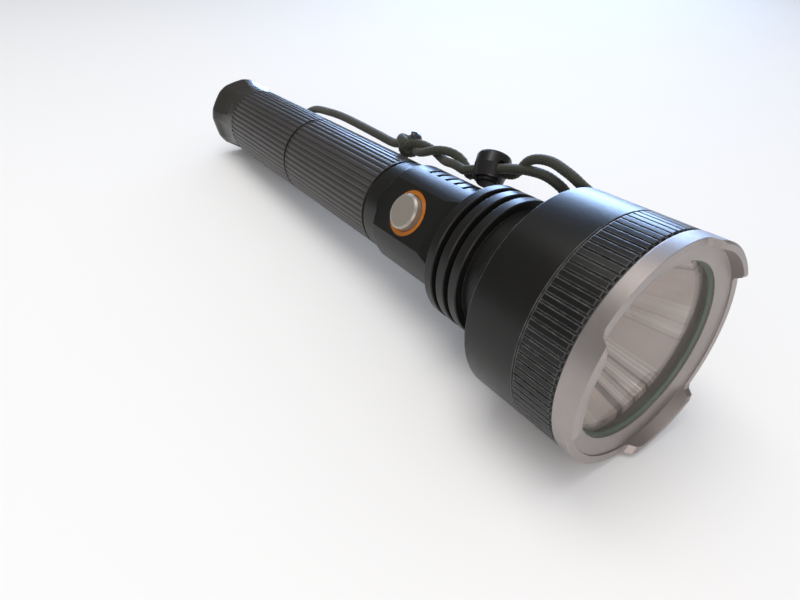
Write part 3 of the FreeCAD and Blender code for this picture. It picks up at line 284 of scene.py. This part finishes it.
def mirror_metal():
    """Coated reflector: painted reflections as streaks of light and dark that fan out from the LED, painted
    light from a faint emission, and dust specks.
    """
    m = Mat("reflector_mirror")
    share = m.maths("ADD", m.maths("DIVIDE", m.clock(), math.tau), 0.5)
    lines = m.node("ShaderNodeCombineXYZ")
    m.link(m.maths("MULTIPLY", share, 30.0), lines.inputs["X"])
    fan = m.node("ShaderNodeTexNoise")
    fan.inputs["Scale"].default_value = 1.0
    fan.inputs["Detail"].default_value = 2.0
    m.link(lines.outputs[0], fan.inputs["Vector"])
    swing = m.maths("SINE", m.maths("MULTIPLY", m.clock(), 3.0))
    strong = m.maths("MULTIPLY", m.maths("ADD", swing, 1.0), 0.5)
    # painted reflections: dark and pale streaks set into the base colour, stronger on some sides
    dark = m.ramp(fan.outputs["Fac"], [(0.37, 1.0), (0.43, 0.0)])
    painted_glint = m.ramp(fan.outputs["Fac"], [(0.54, 0.0), (0.58, 1.0), (0.62, 0.2), (0.66, 1.0)])
    dust = m.ramp(m.noise(2500.0, 3.0), [(0.66, 0.0), (0.75, 1.0)])
    amount = m.maths("ADD", 0.35, m.maths("MULTIPLY", strong, 0.65))
    tone = m.mix(m.maths("MULTIPLY", dark, amount), (0.64, 0.555, 0.525), (0.13, 0.12, 0.115))
    tone = m.mix(m.maths("MULTIPLY", painted_glint, amount), tone, (0.98, 0.94, 0.92))
    m.set(
        Base_Color=m.mix(m.maths("MULTIPLY", dust, 0.25), tone, (0.45, 0.44, 0.42)),
        Metallic=0.25,
        Roughness=m.maths("ADD", 0.12, m.maths("MULTIPLY", dust, 0.2)),
        # painted light: the reflector's own colour given off faintly, though it is no lamp
        Emission_Color=tone,
        Emission_Strength=0.06,
    )
    m.bump(fan.outputs["Fac"], 0.001, 0.4)
    m.bump(m.noise(240.0, 2.0), 0.00004, 0.4)
    return m.mat


def coated_glass():
    """Clear window: mostly see-through, glossy at a slant from outside, with a faint pink-grey haze."""
    m = Mat("lens_coated")
    m.tree.nodes.remove(m.shader)
    clear = m.node("ShaderNodeBsdfTransparent")
    clear.inputs["Color"].default_value = (0.92, 0.92, 0.91, 1.0)
    gloss = m.node("ShaderNodeBsdfGlossy")
    gloss.inputs["Roughness"].default_value = 0.05
    veil = m.node("ShaderNodeBsdfDiffuse")
    smear = m.noise(70.0, 4.0, (1.0, 0.4, 1.0))
    m.link(m.ramp(smear, [(0.3, (0.40, 0.36, 0.345)), (0.7, (0.50, 0.455, 0.44))]), veil.inputs["Color"])
    slant = m.node("ShaderNodeFresnel")
    slant.inputs["IOR"].default_value = 1.40
    haze = m.node("ShaderNodeMixShader")
    m.link(m.maths("ADD", 0.04, m.maths("MULTIPLY", smear, 0.12)), haze.inputs["Fac"])
    m.link(clear.outputs[0], haze.inputs[1])
    m.link(veil.outputs[0], haze.inputs[2])
    both = m.node("ShaderNodeMixShader")
    outward = m.maths("SUBTRACT", 1.0, m.node("ShaderNodeNewGeometry").outputs["Backfacing"])
    m.link(m.maths("MULTIPLY", slant.outputs[0], m.maths("MULTIPLY", outward, 0.8)), both.inputs["Fac"])
    m.link(haze.outputs[0], both.inputs[1])
    m.link(gloss.outputs[0], both.inputs[2])
    m.link(both.outputs[0], m.out.inputs["Surface"])
    return m.mat


def rubber(name, colour, rough=0.55):
    """Soft moulded rubber with a powdery bloom."""
    m = Mat(name)
    bloom = m.ramp(m.noise(500.0, 4.0), [(0.4, 0.0), (0.8, 1.0)])
    powdery = [min(1.0, c * 1.5 + 0.02) for c in colour]
    m.set(
        Base_Color=m.mix(m.maths("MULTIPLY", bloom, 0.3), colour, powdery),
        Roughness=m.maths("ADD", rough, m.maths("MULTIPLY", bloom, 0.15)),
    )
    m.bump(m.noise(5000.0, 2.0), 0.00003, 0.4)
    return m.mat


def plastic(name, colour, rough=0.35, sheen=0.0, painted_glow=None):
    """Moulded plastic with a fine orange-peel and small tone changes."""
    m = Mat(name)
    edge = m.rounded(0.0002)
    tone = m.mix(m.noise(160.0, 3.0), [c * 0.85 for c in colour], colour)
    m.set(
        # lighter along the edges: a painted edge highlight
        Base_Color=m.mix(m.maths("MULTIPLY", edge, 0.25), tone, [min(1.0, c + 0.15) for c in colour]),
        Roughness=m.maths("ADD", rough, m.maths("MULTIPLY", m.noise(1500.0, 2.0), 0.1)),
        Coat_Weight=sheen,
    )
    # painted light: an optional faint emission, for a part that is no lamp
    if painted_glow is not None:
        m.set(Emission_Color=painted_glow, Emission_Strength=0.06)
    m.bump(m.noise(3500.0, 2.0), 0.00003, 0.35)
    return m.mat


def circuit(name):
    """Solder mask over copper tracks, with bare pads showing."""
    m = Mat(name)
    tracks = m.node("ShaderNodeTexBrick")
    m.link(m.where, tracks.inputs["Vector"])
    tracks.inputs["Scale"].default_value = 260.0
    tracks.inputs["Mortar Size"].default_value = 0.03
    pads = m.ramp(m.noise(600.0, 1.0), [(0.66, 0.0), (0.69, 1.0)])
    green = m.mix(tracks.outputs["Fac"], (0.015, 0.10, 0.045), (0.03, 0.17, 0.07))
    m.set(
        Base_Color=m.mix(pads, green, (0.75, 0.73, 0.68)),
        Metallic=m.maths("MULTIPLY", pads, 0.9),
        Roughness=0.35,
    )
    m.bump(tracks.outputs["Fac"], 0.00003, 0.6)
    return m.mat


def phosphor():
    """LED under a clear dome: a yellow phosphor square that fades to the pale package."""
    m = Mat("led_phosphor")
    place = m.axes()
    span = m.maths("MAXIMUM", m.maths("ABSOLUTE", place["Y"]), m.maths("ABSOLUTE", place["Z"]))
    yellow, package = (0.85, 0.70, 0.12), (0.86, 0.85, 0.80)
    m.set(
        Base_Color=m.ramp(m.maths("MULTIPLY", span, 260.0), [(0.42, yellow), (0.50, package)]),
        Roughness=m.maths("ADD", 0.12, m.maths("MULTIPLY", m.noise(900.0), 0.06)),
        Coat_Weight=0.8,
    )
    m.bump(m.noise(2500.0), 0.00002, 0.3)
    return m.mat


def cell_wrap():
    """Shrink wrap on a cell: blue film with faint lengthwise creases and a bare metal nub."""
    m = Mat("cell_wrap")
    place = m.axes()
    squares = [m.maths("POWER", place[axis], 2.0) for axis in "YZ"]
    away = m.maths("SQRT", m.maths("ADD", *squares))
    bare = m.maths("LESS_THAN", away, 0.0085)
    creases = m.noise(500.0, 3.0, (0.08, 1.0, 1.0))
    film = m.mix(creases, (0.02, 0.14, 0.30), (0.05, 0.24, 0.45))
    m.set(
        Base_Color=m.mix(bare, film, (0.75, 0.74, 0.72)),
        Metallic=bare,
        Roughness=m.maths("ADD", 0.22, m.maths("MULTIPLY", creases, 0.15)),
    )
    m.bump(creases, 0.00005, 0.5)
    return m.mat


def woven_cord():
    """Braided sheath: interlaced bundles in the mesh, and in colour as painted shade where they dip and a
    painted highlight on their crests, with loose fibres.
    """
    m = Mat("cord_braid")
    uv = m.node("ShaderNodeTexCoord").outputs["UV"]
    parts = m.node("ShaderNodeSeparateXYZ")
    m.link(uv, parts.inputs[0])
    along, round_it = parts.outputs["X"], parts.outputs["Y"]
    left = m.maths("SINE", m.maths("MULTIPLY", m.maths("ADD", along, round_it), BRAID_RATE))
    right = m.maths("SINE", m.maths("MULTIPLY", m.maths("SUBTRACT", along, round_it), BRAID_RATE))
    weave = m.maths("MULTIPLY", left, right)
    fibre = m.noise(6000.0, 2.0, (1.0, 0.5, 0.5))
    low, middle, high = (0.018, 0.020, 0.014), (0.038, 0.041, 0.029), (0.060, 0.063, 0.046)
    # painted shade in the weave's hollows and a painted highlight on its crests
    base = m.ramp(weave, [(0.0, low), (0.55, middle), (1.0, high)])
    m.set(
        Base_Color=m.mix(m.maths("MULTIPLY", fibre, 0.35), base, (0.085, 0.086, 0.064)),
        Roughness=0.72,
        Sheen_Weight=0.35,
        Sheen_Roughness=0.4,
    )
    m.bump(weave, 0.00012, 0.6)
    m.bump(fibre, 0.00005, 0.5)
    return m.mat


def melted_end():
    """Glossy dark lump of fused cord."""
    m = Mat("cord_melted")
    lumps = m.noise(900.0, 3.0)
    m.set(
        Base_Color=m.mix(lumps, (0.012, 0.013, 0.016), (0.05, 0.055, 0.075)),
        Roughness=m.maths("ADD", 0.18, m.maths("MULTIPLY", lumps, 0.2)),
    )
    m.bump(lumps, 0.0002, 0.6)
    return m.mat


FINISHES = {
    "bezel_metal": blasted_bezel(),
    "bare_aluminium": turned_metal("bare_aluminium", (0.70, 0.70, 0.71)),
    "reflector_mirror": mirror_metal(),
    "lens_glass": coated_glass(),
    "lens_seal_green": rubber("lens_seal_green", (0.115, 0.145, 0.122), 0.4),
    "seal_rubber": rubber("seal_rubber", (0.015, 0.015, 0.015)),
    "led_copper": turned_metal("led_copper", (0.72, 0.45, 0.30), 0.3),
    "led_phosphor": phosphor(),
    "white_plastic": plastic("white_plastic", (0.75, 0.75, 0.72), 0.4),
    "lead_plastic": plastic("lead_plastic", (0.45, 0.03, 0.02), 0.3),
    "board_green": circuit("board_green"),
    "spring_gold": turned_metal("spring_gold", (0.80, 0.60, 0.25), 0.25),
    "spring_steel": turned_metal("spring_steel", (0.55, 0.55, 0.57), 0.25, "Z"),
    "button_metal": turned_metal("button_metal", (0.40, 0.365, 0.32), 0.32, "Z", 0.55),
    # the orange ring is given a faint painted light, glowing though it is no lamp
    "light_ring_orange": plastic("light_ring_orange", (0.36, 0.11, 0.006), 0.28, 0.4, (1.0, 0.32, 0.02)),
    "tact_plastic": plastic("tact_plastic", (0.03, 0.03, 0.03), 0.4),
    "cell_wrap": cell_wrap(),
    "lock_plastic": plastic("lock_plastic", (0.010, 0.010, 0.011), 0.30, 0.15),
}
TUBE_FINISH = fluted_finish()
OWN_FINISH = {
    "head_bell": bell_finish(),
    "neck_housing": neck_finish(),
    "front_tube": TUBE_FINISH,
    "rear_tube": TUBE_FINISH,
    "tail_cap": cap_finish(),
}
SLOT_OF = {entry["node"]: entry["material_slot"] for entry in frame["record"]["subparts"]}

for name, node in NODES.items():
    finish = OWN_FINISH.get(name) or FINISHES.get(SLOT_OF.get(name))
    if finish is None:
        continue
    if not node.material_slots:
        node.data.materials.append(finish)
    for slot in node.material_slots:
        slot.material = finish


# ---- lanyard ----

def smooth_path(points, step):
    """Points spaced by step along a Catmull-Rom curve through points."""
    ends = [points[0] * 2 - points[1]] + points + [points[-1] * 2 - points[-2]]
    dense = []
    for i in range(1, len(ends) - 2):
        a, b, c, d = ends[i - 1:i + 3]
        for k in range(24):
            t = k / 24
            dense.append(0.5 * (2 * b + (c - a) * t + (2 * a - 5 * b + 4 * c - d) * t * t
                                + (3 * b - a - 3 * c + d) * t ** 3))
    dense.append(points[-1])
    return spaced(dense, step)


def spaced(dense, step):
    """The same line with points at even steps."""
    total = sum((b - a).length for a, b in zip(dense, dense[1:]))
    count = max(2, round(total / step))
    gap = total / count
    result, walked, target = [dense[0].copy()], 0.0, gap
    for a, b in zip(dense, dense[1:]):
        length = (b - a).length
        while length > 0 and walked + length >= target - 1e-12 and len(result) < count:
            result.append(a.lerp(b, (target - walked) / length))
            target += gap
        walked += length
    result.append(dense[-1].copy())
    return result


def cord_mesh(name, path, radius, body, sides=20, braid=0.00011, taper_ends=False):
    """A cord's braided surface along path; its UV runs once round the cord and in step along it."""
    verts, faces, uvs = [], [], []
    tangent = (path[1] - path[0]).normalized()
    side = tangent.orthogonal().normalized()
    walked = 0.0
    for i, point in enumerate(path):
        ahead = path[min(i + 1, len(path) - 1)]
        behind = path[max(i - 1, 0)]
        heading = (ahead - behind).normalized()
        side = (side - heading * side.dot(heading)).normalized()
        other = heading.cross(side)
        if i:
            walked += (point - path[i - 1]).length
        along = walked / (math.tau * radius)
        swell = radius
        if taper_ends:
            left = min(i, len(path) - 1 - i) / 5
            swell *= math.sqrt(min(1.0, 0.15 + left))
        for k in range(sides):
            round_it = k / sides
            weave = math.sin((along + round_it) * BRAID_RATE) * math.sin((along - round_it) * BRAID_RATE)
            reach = swell + braid * weave
            angle = math.tau * round_it
            verts.append(point + (side * math.cos(angle) + other * math.sin(angle)) * reach)
        uvs.append(along)
    rows = len(path)
    for i in range(rows - 1):
        for k in range(sides):
            n = (k + 1) % sides
            faces.append((i * sides + k, i * sides + n, (i + 1) * sides + n, (i + 1) * sides + k))
    for i in (0, rows - 1):
        centre = len(verts)
        verts.append(path[i])
        for k in range(sides):
            n = (k + 1) % sides
            ring = (i * sides + n, i * sides + k) if i == 0 else (i * sides + k, i * sides + n)
            faces.append((*ring, centre))
    mesh = bpy.data.meshes.new(name)
    mesh.from_pydata(verts, [], faces)
    layer = mesh.uv_layers.new(name="cord")
    for polygon in mesh.polygons:
        polygon.use_smooth = True
        columns = [mesh.loops[j].vertex_index for j in polygon.loop_indices]
        wraps = any(v < rows * sides and v % sides == sides - 1 for v in columns)
        for j in polygon.loop_indices:
            v = mesh.loops[j].vertex_index
            if v >= rows * sides:
                layer.data[j].uv = (uvs[0 if v == rows * sides else -1], 0.5)
                continue
            k = v % sides
            layer.data[j].uv = (uvs[v // sides], 1.0 if wraps and k == 0 else k / sides)
    obj = bpy.data.objects.new(name, mesh)
    bpy.context.scene.collection.objects.link(obj)
    obj.data.materials.append(BRAID)
    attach(obj, body)
    return obj


BRAID = woven_cord()
MELTED = melted_end()
STEP = 0.00045
CORD = 1.75 * MM
PAIRED = 1.68 * MM
STUB = 1.8 * MM
BEAD = 2.6 * MM
KNOT = lamp(148.8, 22.8, 32.8)
LOCK_CLOCK = math.radians(40.9)
LOCK_LEAN = math.radians(20.0)
LOCK_CENTRE = lamp(191.5, 26.3, 40.9)
LOCK_TURN = Matrix.Rotation(-LOCK_CLOCK, 3, "X") @ Matrix.Rotation(-LOCK_LEAN, 3, "Y")


def lock(x, y, z):
    """A point from the cord lock's own frame: x along the cord, z towards its top, in millimetres."""
    return LOCK_CENTRE + LOCK_TURN @ (Vector((x, y, z)) * MM)


TUNNEL_CLOCK = 122.5
TUNNEL_STATION = 5.5
TUNNEL_MOUTH = 18.7
TUNNEL_BEND = 6
MOUTH_BEND = 3.4
TUNNEL_TURN = Matrix.Rotation(-math.radians(TUNNEL_CLOCK), 3, "X")


def tunnel(side, out, ahead=0.0):
    """A point at the tail cap's cord tunnel: side along the facet, out from the tunnel's mouths."""
    return TUNNEL_TURN @ (Vector((TUNNEL_STATION + ahead, side, TUNNEL_MOUTH + out)) * MM)


# the cord's line: round inside the cap, then a bend forward out of each mouth
arc = [tunnel(-TUNNEL_BEND * math.cos(a), -TUNNEL_BEND * math.sin(a))
       for a in [math.pi * k / 12 for k in range(13)]]
bends = [math.radians(a) for a in (20, 45, 70, 88)]
rise = [(MOUTH_BEND * math.sin(a), MOUTH_BEND * (1 - math.cos(a))) for a in bends]

# the two strands from the tail cap to the knot: one over the tube, one low along its far side
high = [
    lamp(18.0, 22.3, 100.0), lamp(38.0, 20.9, 76.0), lamp(62.0, 20.6, 48.0), lamp(81.2, 21.4, 37.0),
    lamp(94.5, 22.0, 34.9), lamp(109.3, 21.8, 33.8), lamp(126.2, 21.3, 32.9), lamp(139.6, 21.0, 33.4),
    KNOT + Vector((-1.5, -1.2, 0.8)) * MM,
]
low = [
    lamp(18.0, 22.3, 138.0), lamp(40.0, 20.7, 122.0), lamp(80.0, 20.4, 103.0), lamp(115.0, 20.4, 85.0),
    lamp(134.0, 20.6, 66.0), lamp(142.0, 20.9, 50.0), KNOT + Vector((-1.5, 1.5, -1.2)) * MM,
]
back = [tunnel(-TUNNEL_BEND, out, ahead) for out, ahead in rise]
front = [tunnel(TUNNEL_BEND, out, ahead) for out, ahead in rise]
line = list(reversed(high)) + list(reversed(back)) + arc + front + low
main_cord = cord_mesh("lanyard_main_cord", smooth_path(line, STEP), CORD, "tail_cap_body")
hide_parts("lanyard_cord")


def overhand_knot():
    """A tight overhand knot: a three-lobed closed line, drawn in until its strands bear together."""
    spread, thick = 1.18 * MM, 2.15 * MM
    line = []
    for i in range(97):
        t = math.tau * i / 96
        line.append(Vector((
            (math.sin(t) + 2 * math.sin(2 * t)) * spread,
            (math.cos(t) - 2 * math.cos(2 * t)) * spread,
            -math.sin(3 * t) * spread * 1.5,
        )))
    turn = Matrix.Rotation(math.radians(-33), 3, "X") @ Matrix.Rotation(math.radians(80), 3, "Y")
    squeeze = Matrix.Diagonal(Vector((0.82, 1.0, 1.0)))
    points = [KNOT + turn @ (squeeze @ p) for p in line]
    return cord_mesh("lanyard_knot", spaced(points, STEP), thick, "tail_cap_body")


overhand_knot()

# the cord's cut end, melted so that it can't fray
END = lamp(151.6, 27.0, 31.8)
stub_path = smooth_path([KNOT + Vector((0.5, 0, 0.6)) * MM, KNOT.lerp(END, 0.5), END], STEP)
cord_mesh("lanyard_cord_end", stub_path, STUB, "tail_cap_body")
bead_path = smooth_path([KNOT.lerp(END, 0.72), KNOT.lerp(END, 1.0), KNOT.lerp(END, 1.22)], STEP / 2)
bead = cord_mesh("lanyard_melted_tip", bead_path, BEAD, "tail_cap_body", braid=0.0, taper_ends=True)
bead.data.materials[0] = MELTED

# two strands laid round each other from the knot, side by side by the time they reach the cord lock
axis = smooth_path([
    KNOT + Vector((1.0, 0, 0)) * MM,
    lamp(157.1, 23.4, 33.7), lamp(167.1, 24.5, 36.3), lamp(175.0, 24.7, 38.5),
    lock(-10.6, 0, 0), lock(-9.6, 0, 0), lock(-6.0, 0, 0), lock(-3.0, 0, 0),
], STEP)
TURNS = 1.0
KNOT_GAP, LOCK_GAP = 1.35, 1.85
ACROSS = LOCK_TURN @ Vector((0, 1, 0))
straight_from = min(range(len(axis)), key=lambda i: (axis[i] - lock(-10.6, 0, 0)).length)
for index, phase in enumerate((0.0, math.pi)):
    strand = []
    for i, point in enumerate(axis):
        share = min(1.0, i / straight_from)
        heading = (axis[min(i + 1, len(axis) - 1)] - axis[max(i - 1, 0)]).normalized()
        flat = (ACROSS - heading * ACROSS.dot(heading)).normalized()
        angle = phase + math.tau * TURNS * (1 - share) ** 1.15
        offset = flat * math.cos(angle) + heading.cross(flat) * math.sin(angle)
        strand.append(point + offset * (KNOT_GAP + (LOCK_GAP - KNOT_GAP) * min(1.0, share * 2)) * MM)
    cord_mesh(f"lanyard_twist_{index}", strand, PAIRED, "tail_cap_body")

# the wrist loop: out of the cord lock, forward to the bell, down the far side, and back
loop_line = [
    lock(-4.0, LOCK_GAP, 0), lock(0.0, LOCK_GAP, 0), lock(5.0, LOCK_GAP, 0), lock(9.2, 1.87, 0),
    lamp(206.4, 34.2, 36.0), lamp(213.0, 36.2, 36.6),
    lamp(220.5, 35.2, 38.2), lamp(226.0, 33.8, 43.0), lamp(226.6, 35.6, 60.0), lamp(222.3, 40.5, 84.0),
    lamp(213.8, 47.5, 103.0), lamp(204.0, 53.6, 115.5), lamp(195.6, 54.6, 119.0), lamp(192.0, 50.5, 113.5),
    lamp(197.5, 43.0, 96.0), lamp(208.0, 35.8, 76.0), lamp(216.5, 32.0, 58.0), lamp(219.6, 31.2, 47.5),
    lamp(214.0, 32.0, 40.8), lamp(207.0, 31.4, 38.9),
    lock(9.2, -1.87, -0.1), lock(5.0, -LOCK_GAP, 0), lock(0.0, -LOCK_GAP, 0), lock(-4.0, -LOCK_GAP, 0),
]
cord_mesh("lanyard_wrist_loop", smooth_path(loop_line, STEP), PAIRED, "tail_cap_body")


# ---- floor, light and camera ----

def floor_material():
    m = Mat("pale_floor")
    m.set(Base_Color=m.mix(m.noise(3.0), (0.86, 0.86, 0.86), (0.90, 0.90, 0.90)), Roughness=0.9)
    return m.mat


# the lamp lies on its bell and its tail cap, so the floor slopes up to the narrower tail
BELL_RADIUS, CAP_RADIUS, CONTACT_SPAN = 33.0, 19.35, 257.0
FLOOR_DROP = 0.0197
FLOOR_HALF = 6
FLOOR_TILT = math.atan2(BELL_RADIUS - CAP_RADIUS, CONTACT_SPAN)


def lay_floor():
    corners = [Vector((x * FLOOR_HALF, y * FLOOR_HALF, 0)) for x, y in ((-1, -1), (1, -1), (1, 1), (-1, 1))]
    mesh = bpy.data.meshes.new("floor")
    mesh.from_pydata(corners, [], [(0, 1, 2, 3)])
    floor = bpy.data.objects.new("floor", mesh)
    bpy.context.scene.collection.objects.link(floor)
    floor.rotation_euler = (0, FLOOR_TILT, 0)
    floor.location = (0, 0, -FLOOR_DROP)
    floor.data.materials.append(floor_material())


def studio_world():
    """A soft pale room, which glossy surfaces see as a darker one, so that black metal stays black."""
    world = bpy.data.worlds.new("studio")
    bpy.context.scene.world = world
    world.use_nodes = True
    nodes, links = world.node_tree.nodes, world.node_tree.links
    room = nodes["Background"]
    room.inputs["Color"].default_value = (0.95, 0.97, 1.0, 1.0)
    room.inputs["Strength"].default_value = 0.62
    reflected = nodes.new("ShaderNodeBackground")
    reflected.inputs["Color"].default_value = (0.95, 0.92, 0.90, 1.0)
    reflected.inputs["Strength"].default_value = 0.16
    rays = nodes.new("ShaderNodeLightPath")
    blend = nodes.new("ShaderNodeMixShader")
    links.new(rays.outputs["Is Glossy Ray"], blend.inputs["Fac"])
    links.new(room.outputs[0], blend.inputs[1])
    links.new(reflected.outputs[0], blend.inputs[2])
    links.new(blend.outputs[0], nodes["World Output"].inputs["Surface"])


def area_light(name, place, target, size, power, colour):
    data = bpy.data.lights.new(name, "AREA")
    data.shape = "RECTANGLE"
    data.size, data.size_y = size
    data.energy = power
    data.color = colour
    light = bpy.data.objects.new(name, data)
    light.location = place
    light.rotation_euler = (Vector(target) - Vector(place)).to_track_quat("-Z", "Y").to_euler()
    bpy.context.scene.collection.objects.link(light)
    return light


lay_floor()
studio_world()

# the window shows only as a cool highlight and casts no tint on the floor
window = area_light("window", (-0.62, 0.92, 0.36), (0.16, 0, 0), (0.9, 0.5), 26.0, (0.42, 0.62, 1.0))
window.visible_diffuse = False
area_light("overhead", (0.1, -0.1, 1.2), (0.16, 0, 0), (0.8, 0.8), 7.0, (1.0, 0.98, 0.95))
area_light("front_fill", (0.9, -0.5, 0.35), (0.22, 0, 0), (0.6, 0.5), 2.4, (1.0, 0.90, 0.84))

CAMERA_PLACE = Vector((328.7, -116.4, 90.5)) * MM
CAMERA_VIEW = Vector((-0.6865, 0.4751, -0.5507)).normalized()
CAMERA_SENSOR = 36.0
CAMERA_LENS = 25.2

camera_data = bpy.data.cameras.new("camera")
camera_data.sensor_width = CAMERA_SENSOR
camera_data.lens = CAMERA_LENS
camera_data.clip_start = 0.01
camera = bpy.data.objects.new("camera", camera_data)
camera.location = CAMERA_PLACE
camera.rotation_euler = CAMERA_VIEW.to_track_quat("-Z", "Y").to_euler()
bpy.context.scene.collection.objects.link(camera)
bpy.context.scene.camera = camera
bpy.context.scene.view_settings.view_transform = "Standard"
